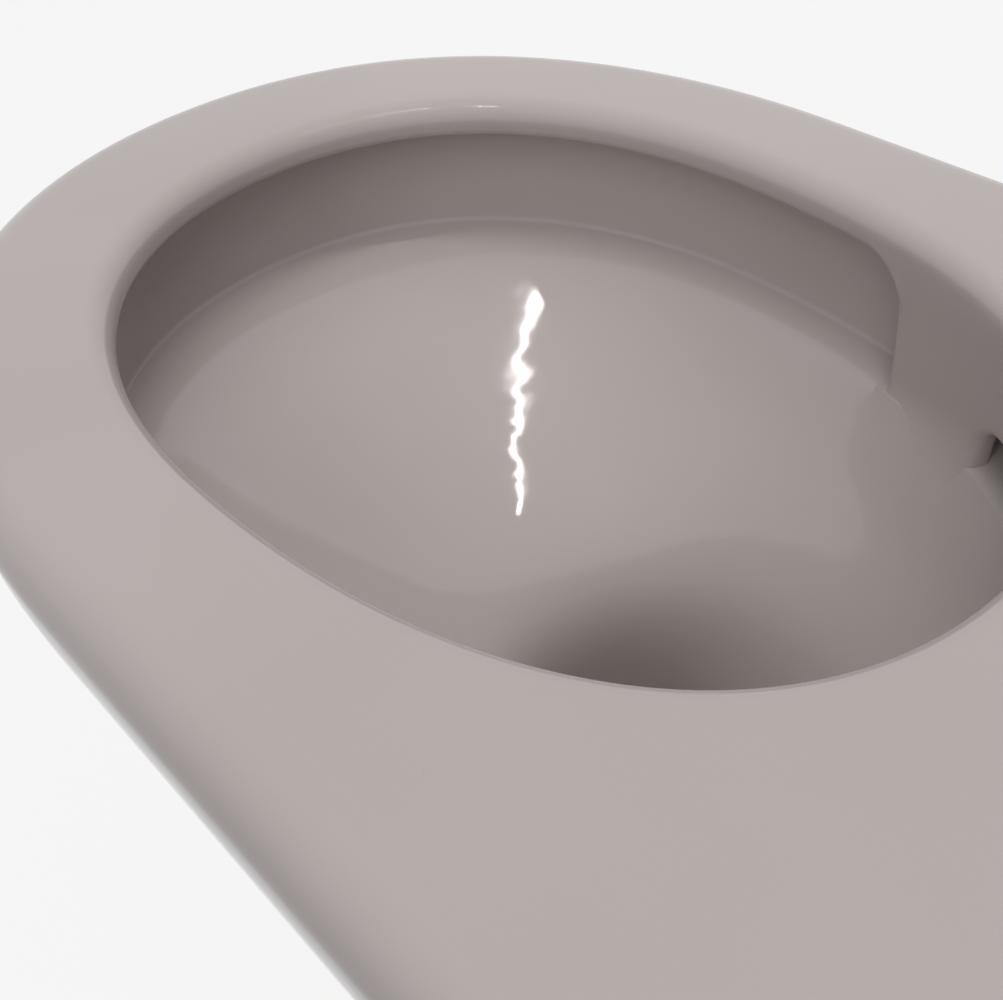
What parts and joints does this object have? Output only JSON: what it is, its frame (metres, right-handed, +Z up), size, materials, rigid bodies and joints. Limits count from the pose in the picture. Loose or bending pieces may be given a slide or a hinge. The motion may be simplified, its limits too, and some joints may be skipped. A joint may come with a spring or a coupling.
{
  "type": "rimless wall-hung toilet pan",
  "caption": "Bare wall-hung rimless toilet pan in glazed china, with open flush channel, hanging rear curtain, trap, wall studs, seals, flush pipe and waste connector.",
  "frame": {"origin": "on the wall plane, midway between the two wall studs", "axes": "+Y into the wall along the studs, -Y to the front of the pan, +Z up, X across the pan"},
  "size_m": [0.36, 0.5939, 0.35],
  "materials": {
    "china": "warm pale grey glaze",
    "white_plastic": "moulded plastic",
    "cap_plastic": "glossy moulded plastic",
    "grey_plastic": "drain pipe plastic",
    "black_rubber": "moulded rubber",
    "zinc_steel": "zinc plated steel",
    "foam": "closed-cell foam mat"
  },
  "bodies": {
    "root": {"pan": "china", "flush_diffuser": "white_plastic", "diffuser_ring": "black_rubber", "inlet_seal": "black_rubber", "inlet_pipe": "grey_plastic", "outlet_seal": "black_rubber", "outlet_pipe": "grey_plastic", "sound_pad": "foam", "left_stud": "zinc_steel", "left_sleeve": "white_plastic", "left_washer": "zinc_steel", "left_nut": "zinc_steel", "left_cap": "cap_plastic", "right_stud": "zinc_steel", "right_sleeve": "white_plastic", "right_washer": "zinc_steel", "right_nut": "zinc_steel", "right_cap": "cap_plastic"}
  },
  "joints": []
}
